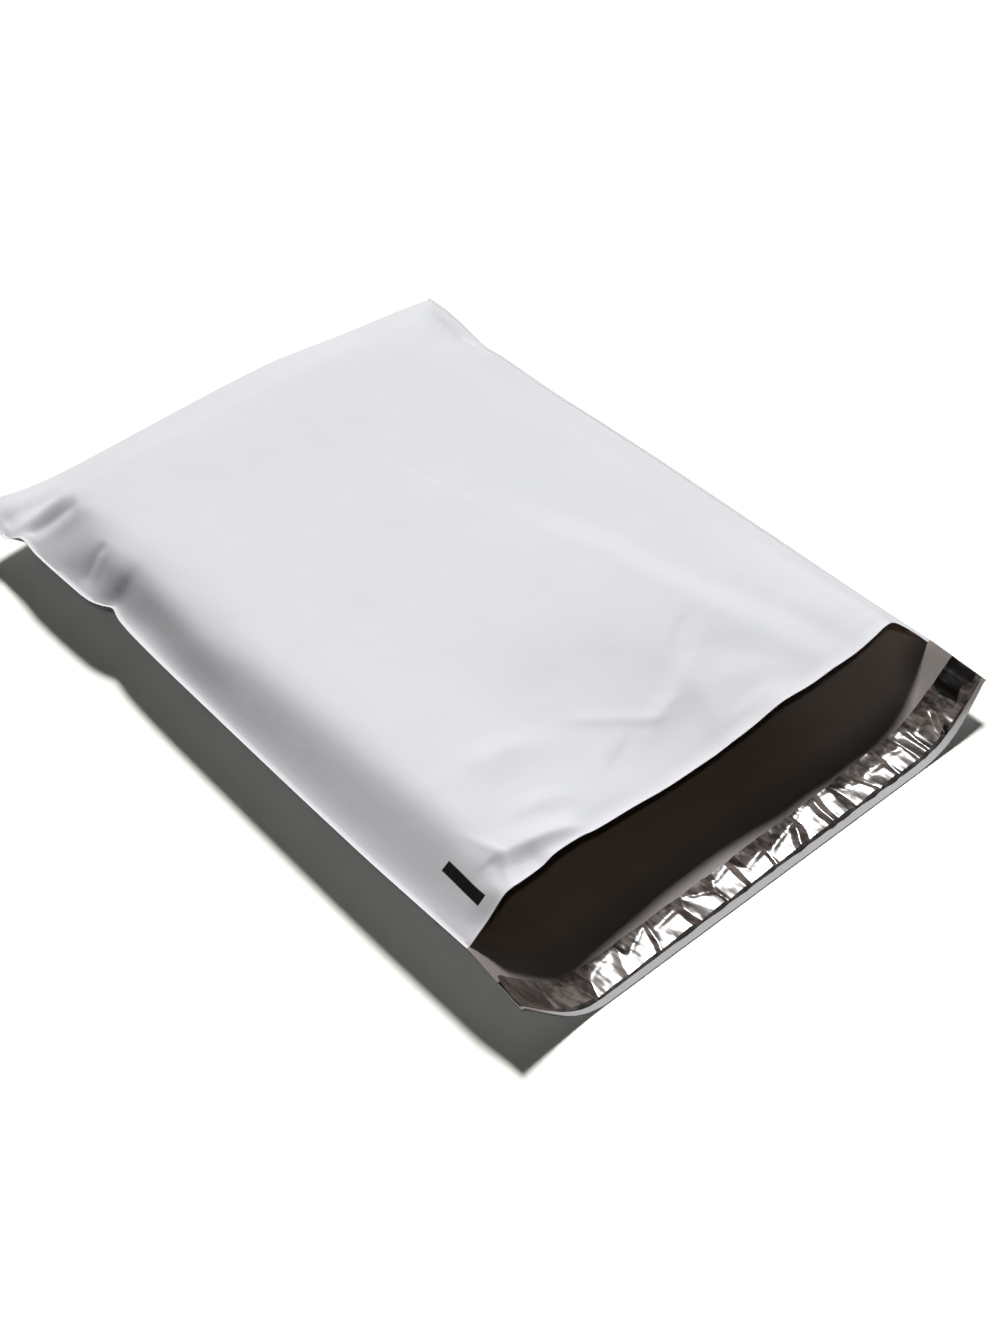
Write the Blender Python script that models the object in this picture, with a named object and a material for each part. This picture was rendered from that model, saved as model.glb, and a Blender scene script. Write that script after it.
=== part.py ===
import math

import bmesh
import bpy
from mathutils import Vector

# The bag lies on the floor, puffed with air. Metres: x goes across it from the left weld to the
# right one, y towards its closed end, z up from the floor. Its plan is centred on the origin.
bag_width = 0.294
pocket_length = 0.388
flap_length = 0.045
film_thickness = 0.0008
weld_width = 0.004
weld_curl = 0.0012

# Angles at which the front panel and the one under it leave the welds and the closed end.
left_slope = math.radians(42)
right_slope = math.radians(33)
far_slope = math.radians(30)
under_left_slope = math.radians(40)
under_right_slope = math.radians(26)
under_far_slope = math.radians(40)

# Each weld: how far along the pocket, how far it is drawn in, and how high it hangs.
left_weld = [
    (0.00, 0.000, 0.0262),
    (0.12, -0.003, 0.0270),
    (0.27, 0.0035, 0.0268),
    (0.42, -0.001, 0.0272),
    (0.60, -0.002, 0.0274),
    (1.00, 0.001, 0.0286),
]
right_weld = [
    (0.00, 0.000, 0.0108),
    (0.13, 0.005, 0.0140),
    (0.45, 0.003, 0.0190),
    (0.75, 0.001, 0.0185),
    (1.00, -0.001, 0.0170),
]

# The closed end hangs higher in its middle than the line between its corners, and bows in.
closed_end_rise = 0.006
closed_end_bow = 0.002

# The top of the front panel: how far across, and how high.
crown = [(0.0, 0.0465), (0.13, 0.0470), (0.3, 0.0450), (0.55, 0.0425), (0.8, 0.0400), (1.0, 0.0390)]
# Its rippled edge at the mouth: how far across, and how high above the line between the welds.
mouth_edge = [
    (0.00, 0.0000),
    (0.08, 0.0193),
    (0.14, 0.0230),
    (0.25, 0.0183),
    (0.38, 0.0133),
    (0.56, 0.0169),
    (0.70, 0.0170),
    (0.78, 0.0135),
    (0.89, 0.0222),
    (1.00, 0.0000),
]
ripple_reach = 0.090
mouth_pull = 0.003

# The flap lies on the floor, with its two corners lifted and drawn back.
left_corner_height = 0.0222
right_corner_height = 0.0163
corner_pull = 0.0095

# The closing strip on the flap's inside: adhesive under a clear release liner.
liner_width = 0.0175
liner_to_lip = 0.0065
liner_thickness = 0.0004
liner_end_gap = 0.0005
adhesive_width = 0.0145
adhesive_thickness = 0.0004
adhesive_end_gap = 0.002
strip_gap = 0.0003

columns = 28
pocket_rows = 34
flap_rows = 5
strip_rows = 3

outer_white = (0.78, 0.79, 0.82, 1.0)
adhesive_tan = (0.62, 0.58, 0.50, 1.0)
liner_clear = (0.55, 0.55, 0.55, 1.0)

lip_run = pocket_length + flap_length
far_y = lip_run / 2


def curve(points, at, value=1):
    """The value at a place on a smooth line through a few points."""
    places = [point[0] for point in points]
    values = [point[value] for point in points]
    at = min(max(at, places[0]), places[-1])
    last = len(points) - 1
    i = max(k for k in range(last) if places[k] <= at)
    span = places[i + 1] - places[i]

    def lean(k):
        before, after = max(k - 1, 0), min(k + 1, last)
        return (values[after] - values[before]) / (places[after] - places[before]) * span

    t = (at - places[i]) / span
    return (
        values[i] * (2 * t**3 - 3 * t**2 + 1)
        + lean(i) * (t**3 - 2 * t**2 + t)
        + values[i + 1] * (3 * t**2 - 2 * t**3)
        + lean(i + 1) * (t**3 - t**2)
    )


def ease(t):
    t = min(max(t, 0.0), 1.0)
    return t * t * (3 - 2 * t)


def least(*reaches):
    """The smallest of some lengths, rounded off where they meet, and zero where one of them is."""
    if min(reaches) <= 0:
        return 0.0
    return sum(reach**-4 for reach in reaches) ** -0.25


# A spot on the film is named by its share across, from 0 at the left weld to 1 at the right one,
# and its run, which is its distance along the bag from the closed end.


def weld_x(side, run):
    drawn_in = curve(left_weld if side < 0 else right_weld, run / pocket_length, 1)
    return side * (bag_width / 2 - drawn_in)


def weld_height(side, run):
    height = curve(left_weld if side < 0 else right_weld, run / pocket_length, 2)
    corner = left_corner_height if side < 0 else right_corner_height
    return height + (corner - height) * ease((run - pocket_length) / flap_length)


def seam_height(across, run):
    """The level of the welds and of the closed end, carried on through the middle of the bag."""
    left, right = weld_height(-1, run), weld_height(1, run)
    rise = closed_end_rise * math.sin(math.pi * across) * (1 - ease(2 * run / pocket_length))
    return left + (right - left) * across + rise


def inner_width(run):
    return weld_x(1, run) - weld_x(-1, run) - 2 * weld_width


def front_height(across, run):
    seam = seam_height(across, run)
    lift = least(
        math.tan(left_slope) * across * inner_width(run),
        math.tan(right_slope) * (1 - across) * inner_width(run),
        math.tan(far_slope) * run,
        curve(crown, across) - seam,
    )
    rippled = ease((run - pocket_length + ripple_reach) / ripple_reach)
    return seam + lift + (curve(mouth_edge, across) - lift) * rippled


def back_height(across, run):
    seam = seam_height(across, run)
    sag = least(
        math.tan(under_left_slope) * across * inner_width(run),
        math.tan(under_right_slope) * (1 - across) * inner_width(run),
        math.tan(under_far_slope) * run,
        seam,
    )
    # The little more than sag makes the underside lie flat on the floor.
    return max(seam - 1.05 * sag, 0.0)


def film_point(across, run, pull, height):
    """A spot drawn back from the mouth by pull. Heights are of the film's underside."""
    bow = closed_end_bow * math.sin(math.pi * across) * (1 - ease(run / pocket_length))
    x = weld_x(-1, run) + weld_width + inner_width(run) * across
    return Vector((x, far_y - run - bow + pull, height + film_thickness / 2))


def front_point(across, run):
    pull = mouth_pull * math.sin(math.pi * across) * ease(run / pocket_length)
    return film_point(across, run, pull, front_height(across, run))


def back_point(across, run):
    height = back_height(across, run)
    lifted = height / seam_height(across, run)
    pull = corner_pull * lifted * max(run - pocket_length, 0.0) / flap_length
    return film_point(across, run, pull, height)


def back_line(run):
    """The back panel from edge to edge at one run, with the welds' outer edges curled up."""
    line = [back_point(across, run) for across in spread(columns)]
    left_edge = line[0] + Vector((-weld_width, 0, weld_curl))
    right_edge = line[-1] + Vector((weld_width, 0, weld_curl))
    return [left_edge, *line, right_edge]


def spread(count):
    """Places from 0 to 1, closer together towards both ends, where the film bends most."""
    even = [i / count for i in range(count + 1)]
    return [0.45 * t + 0.55 * (0.5 - 0.5 * math.cos(math.pi * t)) for t in even]


def material(name, colour, roughness, alpha=1.0):
    made = bpy.data.materials.new(name)
    made.use_nodes = True
    shader = made.node_tree.nodes["Principled BSDF"]
    shader.inputs["Base Color"].default_value = colour
    shader.inputs["Roughness"].default_value = roughness
    shader.inputs["Metallic"].default_value = 0.0
    shader.inputs["Alpha"].default_value = alpha
    made.diffuse_color = colour
    return made


def mesh_object(name, shape, look):
    mesh = bpy.data.meshes.new(name)
    bmesh.ops.recalc_face_normals(shape, faces=shape.faces)
    shape.to_mesh(mesh)
    shape.free()
    mesh.materials.append(look)
    for face in mesh.polygons:
        face.use_smooth = True
    made = bpy.data.objects.new(name, mesh)
    bpy.context.scene.collection.objects.link(made)
    return made


def join_grid(shape, lines):
    """Faces between neighbouring lines of points."""
    for near, far in zip(lines, lines[1:]):
        for i in range(len(near) - 1):
            shape.faces.new((near[i], far[i], far[i + 1], near[i + 1]))


def film_bag():
    """One folded sheet, welded along both sides: front panel, back panel and flap."""
    pocket = [pocket_length * share for share in spread(pocket_rows)]
    flap = [pocket_length + flap_length * (i + 1) / flap_rows for i in range(flap_rows)]
    shape = bmesh.new()
    back = [[shape.verts.new(spot) for spot in back_line(run)] for run in pocket + flap]
    join_grid(shape, back)
    # The front panel shares the back's points along the welds and the closed end.
    front = [back[0][1:-1]]
    for run, under in zip(pocket[1:], back[1:]):
        inside = [shape.verts.new(front_point(across, run)) for across in spread(columns)[1:-1]]
        front.append([under[1], *inside, under[-2]])
    join_grid(shape, front)
    bag = mesh_object("film_bag", shape, material("white film", outer_white, 0.4))
    wall = bag.modifiers.new("film", "SOLIDIFY")
    wall.solidify_mode = "NON_MANIFOLD"
    wall.nonmanifold_thickness_mode = "EVEN"
    wall.thickness = film_thickness
    wall.offset = 0
    return bag


def raised_line(run, end_gap, above):
    """A line from edge to edge over the flap, short of the film's edges by a gap."""
    line = back_line(run)
    line[0] = line[0].lerp(line[1], end_gap / weld_width)
    line[-1] = line[-1].lerp(line[-2], end_gap / weld_width)
    along = Vector((0, -1, 0))
    raised = []
    for i, spot in enumerate(line):
        over = line[min(i + 1, len(line) - 1)] - line[max(i - 1, 0)]
        raised.append(spot + along.cross(over).normalized() * above)
    return raised


def strip(name, width, end_gap, bottom, thickness, look):
    """A thin band over the flap, from side to side, which follows its bend."""
    middle = lip_run - liner_to_lip - liner_width / 2
    runs = [middle + width * (i / strip_rows - 0.5) for i in range(strip_rows + 1)]
    shape = bmesh.new()
    under, over = (
        [[shape.verts.new(spot) for spot in raised_line(run, end_gap, above)] for run in runs]
        for above in (bottom, bottom + thickness)
    )
    join_grid(shape, under)
    join_grid(shape, over)
    join_grid(shape, [under[0], over[0]])
    join_grid(shape, [under[-1], over[-1]])
    join_grid(shape, [[line[0] for line in under], [line[0] for line in over]])
    join_grid(shape, [[line[-1] for line in under], [line[-1] for line in over]])
    return mesh_object(name, shape, look)


def closing_strip():
    bottom = film_thickness / 2 + strip_gap
    adhesive_look = material("hot-melt adhesive", adhesive_tan, 0.25)
    strip("adhesive_strip", adhesive_width, adhesive_end_gap, bottom, adhesive_thickness, adhesive_look)
    bottom += adhesive_thickness + strip_gap
    liner_look = material("clear liner", liner_clear, 0.1, 0.5)
    strip("release_liner", liner_width, liner_end_gap, bottom, liner_thickness, liner_look)


def main():
    for thing in list(bpy.data.objects):
        bpy.data.objects.remove(thing)
    film_bag()
    closing_strip()


main()
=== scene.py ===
import math

import bmesh
import bpy
import numpy as np
from mathutils import Matrix, Vector, noise


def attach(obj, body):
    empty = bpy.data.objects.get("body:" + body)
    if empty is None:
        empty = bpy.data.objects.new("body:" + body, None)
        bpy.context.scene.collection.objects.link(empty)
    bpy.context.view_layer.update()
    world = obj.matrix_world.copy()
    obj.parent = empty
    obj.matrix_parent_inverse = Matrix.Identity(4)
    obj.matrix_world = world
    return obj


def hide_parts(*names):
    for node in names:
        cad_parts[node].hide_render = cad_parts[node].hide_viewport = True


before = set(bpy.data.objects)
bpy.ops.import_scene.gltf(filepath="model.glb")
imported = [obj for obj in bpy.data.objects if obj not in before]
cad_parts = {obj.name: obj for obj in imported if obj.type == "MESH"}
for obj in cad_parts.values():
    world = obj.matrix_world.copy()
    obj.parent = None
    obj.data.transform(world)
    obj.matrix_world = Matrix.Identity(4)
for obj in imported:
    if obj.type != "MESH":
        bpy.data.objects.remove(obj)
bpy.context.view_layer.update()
print("frame loaded")


# an expression on sockets adds its Math nodes
class Wire:
    def __init__(self, tree, socket):
        self.tree = tree
        self.socket = socket

    def node(self, kind, settings=None, *values, **named):
        # settings first, then values or links for the sockets, in their order or by their names
        made = self.tree.nodes.new(kind)
        for key, value in (settings or {}).items():
            setattr(made, key, value)
        for socket, value in zip(made.inputs, values):
            feed(self.tree, socket, value)
        for key, value in named.items():
            feed(self.tree, socketNamed(made, key), value)
        return made

    def maths(self, operation, *values):
        made = self.node("ShaderNodeMath", {"operation": operation}, *values)
        return Wire(self.tree, made.outputs[0])

    def __add__(self, other):
        return self.maths("ADD", self, other)

    def __radd__(self, other):
        return self.maths("ADD", other, self)

    def __sub__(self, other):
        return self.maths("SUBTRACT", self, other)

    def __rsub__(self, other):
        return self.maths("SUBTRACT", other, self)

    def __mul__(self, other):
        return self.maths("MULTIPLY", self, other)

    def __rmul__(self, other):
        return self.maths("MULTIPLY", other, self)

    def __gt__(self, other):
        return self.maths("GREATER_THAN", self, other)

    def __lt__(self, other):  # what Python calls for a number > a socket
        return self.maths("LESS_THAN", self, other)

    def __abs__(self):
        return self.maths("ABSOLUTE", self)

    def smooth(self, low, high):
        # 0 at low, 1 at high, and eased between them
        eased = {"interpolation_type": "SMOOTHSTEP"}
        made = self.node("ShaderNodeMapRange", eased, Value=self, From_Min=low, From_Max=high)
        return Wire(self.tree, made.outputs[0])

    def mixColour(self, first, second):
        # this value is the share of the second colour
        made = self.node("ShaderNodeMix", {"data_type": "RGBA"}, Factor=self, A=first, B=second)
        return Wire(self.tree, made.outputs[2])


def socketNamed(node, key):
    wanted = key.replace("_", " ")
    return next(socket for socket in node.inputs if socket.name == wanted and socket.enabled)


def feed(tree, socket, value):
    if isinstance(value, Wire):
        tree.links.new(value.socket, socket)
    elif isinstance(value, tuple) and len(value) == 3 and socket.type == "RGBA":
        socket.default_value = (*value, 1.0)
    else:
        socket.default_value = value


def newMaterial(name):
    made = bpy.data.materials.new(name)
    made.use_nodes = True
    tree = made.node_tree
    shader = tree.nodes["Principled BSDF"]
    start = Wire(tree, None)
    coords = start.node("ShaderNodeTexCoord")
    place = Wire(tree, coords.outputs["Object"])
    axes = start.node("ShaderNodeSeparateXYZ", Vector=place)
    return made, start, shader, place, [Wire(tree, axes.outputs[i]) for i in range(3)]


def noiseWire(start, place, scale, detail, roughness=0.5):
    made = start.node("ShaderNodeTexNoise", Vector=place, Scale=scale, Detail=detail, Roughness=roughness)
    return Wire(start.tree, made.outputs[0])


# the bag's shape, in metres, the same form as the solid's
bag = {
    "width": 0.294,
    "pocketLength": 0.388,
    "flapLength": 0.045,
    "filmThickness": 0.00025,
    "solidThickness": 0.0008,
    "weldWidth": 0.0016,
    "weldCurl": 0.0006,
    "rightSlope": math.radians(33),
    "farSlope": math.radians(33),
    "farSlopeLeft": math.radians(22),
    "farSlopeReach": 0.25,
    "underLeftSlope": math.radians(40),
    "underRightSlope": math.radians(26),
    "underFarSlope": math.radians(40),
    "sagDepth": 1.05,
    "leftWeld": [  # share of the pocket, how far it is drawn in, height
        (0.000, 0.0000, 0.0262),
        (0.025, -0.0060, 0.0235),
        (0.060, -0.0075, 0.0195),
        (0.098, -0.0046, 0.0266),
        (0.137, -0.0056, 0.0268),
        (0.220, -0.0048, 0.0268),
        (0.257, -0.0036, 0.0266),
        (0.277, -0.0012, 0.0272),
        (0.294, 0.0016, 0.0280),
        (0.308, 0.0002, 0.0270),
        (0.345, -0.0012, 0.0270),
        (0.450, -0.0020, 0.0272),
        (0.800, -0.0018, 0.0278),
        (1.000, 0.0000, 0.0286),
    ],
    "rightWeld": [
        (0.000, -0.0005, 0.0112),
        (0.045, 0.0002, 0.0121),
        (0.085, 0.0016, 0.0118),
        (0.125, 0.0042, 0.0120),
        (0.158, 0.0060, 0.0125),
        (0.190, 0.0056, 0.0132),
        (0.300, 0.0060, 0.0141),
        (0.400, 0.0050, 0.0152),
        (0.510, 0.0040, 0.0160),
        (0.750, 0.0024, 0.0166),
        (0.880, 0.0015, 0.0168),
        (1.000, 0.0000, 0.0170),
    ],
    "closedEnd": [  # share across, height of the fold
        (0.00, 0.0258),
        (0.06, 0.0226),
        (0.13, 0.0214),
        (0.24, 0.0224),
        (0.45, 0.0247),
        (0.60, 0.0248),
        (0.68, 0.0225),
        (0.80, 0.0180),
        (0.90, 0.0150),
        (1.00, 0.0112),
    ],
    "closedEndReach": 0.055,
    "leftSlopes": [  # run from the closed end, then how steep the side is at each step in from the weld
        (0.016, 0.70, 0.35, 0.25, 0.12, 0.06, 0.04, 0.02, 0.01, 0.00),
        (0.031, 0.75, 0.62, 0.50, 0.38, 0.28, 0.18, 0.12, 0.06, 0.00),
        (0.046, 0.66, 0.80, 0.92, 1.00, 1.02, 0.72, 0.14, 0.03, 0.00),
        (0.061, 0.75, 0.72, 0.72, 0.74, 0.76, 0.70, 0.42, 0.04, 0.00),
        (0.076, 0.45, 0.90, 0.88, 0.76, 0.64, 0.40, 0.24, 0.10, 0.02),
        (0.091, 0.35, 0.60, 1.08, 1.10, 0.66, 0.26, 0.15, 0.08, 0.02),
        (0.106, 0.60, 0.94, 1.06, 1.02, 0.60, 0.22, 0.13, 0.08, 0.02),
        (0.121, 0.25, 0.94, 1.14, 1.12, 0.72, 0.26, 0.14, 0.08, 0.03),
        (0.136, 0.05, 0.90, 1.42, 1.40, 0.72, 0.26, 0.13, 0.08, 0.03),
        (0.176, 0.20, 1.10, 1.34, 1.02, 0.50, 0.28, 0.17, 0.08, 0.03),
        (0.216, 0.32, 1.04, 1.10, 0.98, 0.78, 0.44, 0.20, 0.08, 0.03),
        (0.276, 0.42, 0.76, 0.88, 0.87, 0.77, 0.56, 0.30, 0.15, 0.06),
        (0.336, 0.34, 0.76, 0.88, 0.88, 0.84, 0.74, 0.44, 0.20, 0.05),
        (0.388, 0.20, 0.66, 1.02, 1.04, 0.90, 0.58, 0.32, 0.15, 0.05),
    ],
    "leftStep": 0.0045,
    "leftEasing": 0.6,
    "leftNotch": [  # run from the closed end, how far the left slope is moved towards its weld
        (0.0, 0.0),
        (0.0997, 0.0),
        (0.1075, 0.0012),
        (0.114, 0.0025),
        (0.1195, 0.0014),
        (0.134, 0.0),
        (0.388, 0.0),
    ],
    "notchReach": 0.014,
    "closedEndRise": 0.006,
    "closedEndBow": 0.002,
    "crown": [  # share across, greatest height of the swell
        (0.0, 0.0465),
        (0.13, 0.0470),
        (0.3, 0.0450),
        (0.55, 0.0425),
        (0.8, 0.0400),
        (1.0, 0.0390),
    ],
    "mouthEdge": [  # share across, height above the line from weld to weld, how far back it is drawn
        (0.000, 0.0000, 0.0000),
        (0.035, 0.0068, 0.0000),
        (0.071, 0.0174, 0.0000),
        (0.084, 0.0184, 0.0000),
        (0.145, 0.0188, 0.0000),
        (0.170, 0.0211, 0.0000),
        (0.219, 0.0209, 0.0000),
        (0.250, 0.0190, 0.0000),
        (0.310, 0.0166, 0.0000),
        (0.386, 0.0145, 0.0000),
        (0.485, 0.0131, 0.0000),
        (0.585, 0.0156, 0.0000),
        (0.657, 0.0196, 0.0000),
        (0.725, 0.0188, 0.0000),
        (0.785, 0.0203, 0.0003),
        (0.860, 0.0245, 0.0016),
        (0.908, 0.0247, 0.0034),
        (0.930, 0.0205, 0.0026),
        (1.000, 0.0000, 0.0000),
    ],
    "mouthWave": [  # the same heights a little way behind the edge
        (0.00, 0.0000),
        (0.04, 0.0080),
        (0.09, 0.0172),
        (0.15, 0.0202),
        (0.25, 0.0190),
        (0.39, 0.0148),
        (0.485, 0.0135),
        (0.60, 0.0158),
        (0.72, 0.0190),
        (0.80, 0.0210),
        (0.88, 0.0245),
        (0.93, 0.0205),
        (1.00, 0.0000),
    ],
    "rippleReach": 0.125,
    "rippleNarrow": 0.31,
    "rippleWidens": (0.05, 0.25),
    "edgeReach": 0.018,
    "rimHeight": 0.0017,
    "rimWave": 43,
    "rimEvenness": 0.8,
    "rimTurn": 0.0003,
    "rimCurl": 0.0005,
    "rimReach": 0.0028,
    "rimValley": 0.0004,
    "rimDip": 0.006,
    "dipWaves": [(31, 2.0), (11.3, 0.6)],
    "dipEvenness": 0.55,
    "rimDrop": 0.0005,
    "rimDropReach": 0.030,
    "rimFade": 0.03,
    "mouthPull": 0.003,
    "drawnReach": 0.040,
    "leftCornerHeight": 0.0222,
    "rightCornerHeight": 0.0163,
    "cornerPull": 0.0095,
    "columnSteps": [  # share across, spacing of the columns as a share
        (0.0, 0.0055),
        (0.16, 0.0055),
        (0.21, 0.0100),
        (0.85, 0.0100),
        (0.90, 0.0075),
        (1.0, 0.0075),
    ],
    "rowSteps": [  # run from the closed end, spacing of the rows
        (0.0, 0.0020),
        (0.112, 0.0017),
        (0.125, 0.0040),
        (0.290, 0.0040),
        (0.325, 0.0016),
        (0.3845, 0.0013),
        (0.3865, 0.0004),
        (0.388, 0.0002),
    ],
    "flapRows": 20,
    "weldHold": 0.006,
    "closedEndHold": 0.015,
    "sharpAngle": 50,
}
lipRun = bag["pocketLength"] + bag["flapLength"]
farY = lipRun / 2


def smoothLine(points, at, value=1):
    # a smooth line through a few points, read at many places
    places = np.array([point[0] for point in points])
    values = np.array([point[value] for point in points])
    leans = np.array(
        [
            (values[min(k + 1, len(points) - 1)] - values[max(k - 1, 0)])
            / (places[min(k + 1, len(points) - 1)] - places[max(k - 1, 0)])
            for k in range(len(points))
        ]
    )
    at = np.clip(at, places[0], places[-1])
    i = np.clip(np.searchsorted(places, at, side="right") - 1, 0, len(points) - 2)
    span = places[i + 1] - places[i]
    t = (at - places[i]) / span
    return (
        values[i] * (2 * t**3 - 3 * t**2 + 1)
        + leans[i] * span * (t**3 - 2 * t**2 + t)
        + values[i + 1] * (3 * t**2 - 2 * t**3)
        + leans[i + 1] * span * (t**3 - t**2)
    )


def ease(t):
    t = np.clip(t, 0.0, 1.0)
    return t * t * (3 - 2 * t)


def upFrom(low, t):
    # low where t is 0, and 1 where t is 1
    return low + (1 - low) * t


def least(*reaches):
    # the smallest of some lengths, rounded off where they meet, and zero where one of them is
    tiny = 1e-6
    return sum(np.maximum(reach, tiny) ** -4.0 for reach in reaches) ** -0.25


def weldX(side, run):
    drawnIn = smoothLine(bag["leftWeld" if side < 0 else "rightWeld"], run / bag["pocketLength"], 1)
    return side * (bag["width"] / 2 - drawnIn)


def weldHeight(side, run):
    height = smoothLine(bag["leftWeld" if side < 0 else "rightWeld"], run / bag["pocketLength"], 2)
    corner = bag["leftCornerHeight" if side < 0 else "rightCornerHeight"]
    return height + (corner - height) * ease((run - bag["pocketLength"]) / bag["flapLength"])


def seamHeight(across, run):
    left, right = weldHeight(-1, run), weldHeight(1, run)
    rise = bag["closedEndRise"] * np.sin(math.pi * across) * (1 - ease(2 * run / bag["pocketLength"]))
    plain = left + (right - left) * across + rise
    ends = bag["leftWeld"][0][2], bag["rightWeld"][0][2]
    fold = ends[0] + (ends[1] - ends[0]) * across + bag["closedEndRise"] * np.sin(math.pi * across)
    return plain + (smoothLine(bag["closedEnd"], across) - fold) * (1 - ease(run / bag["closedEndReach"]))


def innerWidth(run):
    return weldX(1, run) - weldX(-1, run) - 2 * bag["weldWidth"]


def leftShare(distance, run):
    # how much of its full rise the left side has reached at a distance in from its weld
    step = bag["leftStep"]
    shares = []
    for station in bag["leftSlopes"]:
        steep = np.array([*station[1:], 0.0])
        rises = np.concatenate([[0.0], np.cumsum((steep[1:] + steep[:-1]) / 2)])
        t = np.clip(distance / step, 0, len(steep) - 1.001)  # just short of the last step
        i = t.astype(int)
        part = t - i
        rise = rises[i] + steep[i] * part + (steep[i + 1] - steep[i]) * part**2 / 2
        shares.append(rise / rises[-1])
    places = np.array([station[0] for station in bag["leftSlopes"]])
    at = np.clip(run, places[0], places[-1])
    k = np.clip(np.searchsorted(places, at, side="right") - 1, 0, len(places) - 2)
    part = (at - places[k]) / (places[k + 1] - places[k])
    shares = np.array(shares)
    pick = np.ogrid[tuple(slice(0, n) for n in distance.shape)]
    near, far = shares[(k, *pick)], shares[(k + 1, *pick)]
    easing = bag["leftEasing"]
    return near + (far - near) * (ease(part) * easing + part * (1 - easing))


def frontHeight(across, run):
    seam = seamHeight(across, run)
    turned = ease(across / bag["farSlopeReach"])
    farSlope = bag["farSlopeLeft"] + (bag["farSlope"] - bag["farSlopeLeft"]) * turned
    lift = least(
        math.tan(bag["rightSlope"]) * (1 - across) * innerWidth(run),
        np.tan(farSlope) * run,
        smoothLine(bag["crown"], across) - seam,
    )
    # the notch in the left weld dies away inwards
    inwards = across * innerWidth(run)
    notch = smoothLine(bag["leftNotch"], run) * ease(inwards / bag["notchReach"])
    lift *= leftShare(inwards + notch, run)
    first, last = bag["rippleWidens"]
    reach = bag["rippleReach"] * upFrom(bag["rippleNarrow"], ease((across - first) / (last - first)))
    rippled = ease((run - bag["pocketLength"] + reach) / reach)
    wave = smoothLine(bag["mouthWave"], across)
    detail = ease((run - bag["pocketLength"]) / bag["edgeReach"] + 1)
    return seam + lift + (wave - lift) * rippled + (smoothLine(bag["mouthEdge"], across) - wave) * detail


def rimHeights(across, run):
    # the cut edge of the mouth stands up a little, with a shallow dip behind it
    back = bag["pocketLength"] - run
    waves = math.prod(np.sin(rate * across + phase) for rate, phase in bag["dipWaves"])
    uneven = upFrom(bag["dipEvenness"], waves)
    wavy = upFrom(bag["rimEvenness"], np.sin(bag["rimWave"] * across))
    upright = bag["rimHeight"] * np.exp(-back / bag["rimTurn"]) * wavy
    curl = ease(1 - back / bag["rimReach"]) * bag["rimCurl"]
    dip = ease(1 - np.abs(back - bag["rimDip"]) / bag["rimDip"]) * bag["rimValley"] * uneven
    drop = ease(1 - back / bag["rimDropReach"]) * bag["rimDrop"]
    return (upright + curl - dip - drop) * ease(np.minimum(across, 1 - across) / bag["rimFade"])


def backHeight(across, run):
    seam = seamHeight(across, run)
    sag = least(
        math.tan(bag["underLeftSlope"]) * across * innerWidth(run),
        math.tan(bag["underRightSlope"]) * (1 - across) * innerWidth(run),
        math.tan(bag["underFarSlope"]) * run,
        seam,
    )
    return np.maximum(seam - bag["sagDepth"] * sag, 0.0)


def filmPoints(across, run, pull, height):
    bow = bag["closedEndBow"] * np.sin(math.pi * across) * (1 - ease(run / bag["pocketLength"]))
    x = weldX(-1, run) + bag["weldWidth"] + innerWidth(run) * across
    return np.stack([x, farY - run - bow + pull, height + bag["solidThickness"] / 2], axis=-1)


def frontPoints(across, run):
    pull = bag["mouthPull"] * np.sin(math.pi * across) * ease(run / bag["pocketLength"])
    nearMouth = ease((run - bag["pocketLength"] + bag["drawnReach"]) / bag["drawnReach"])
    pull = pull + smoothLine(bag["mouthEdge"], across, 2) * nearMouth
    return filmPoints(across, run, pull, frontHeight(across, run))


def backPoints(across, run):
    height = backHeight(across, run)
    lifted = height / seamHeight(across, run)
    pull = bag["cornerPull"] * lifted * np.maximum(run - bag["pocketLength"], 0.0) / bag["flapLength"]
    return filmPoints(across, run, pull, height)


def unevenSteps(steps):
    # places along a length, closer together where the table's step is small
    fine = np.linspace(0, steps[-1][0], 4001)
    density = 1 / np.interp(fine, [place for place, step in steps], [step for place, step in steps])
    count = np.concatenate([[0.0], np.cumsum((density[1:] + density[:-1]) / 2 * np.diff(fine))])
    return np.interp(np.linspace(0, count[-1], round(count[-1]) + 1), count, fine)


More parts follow.
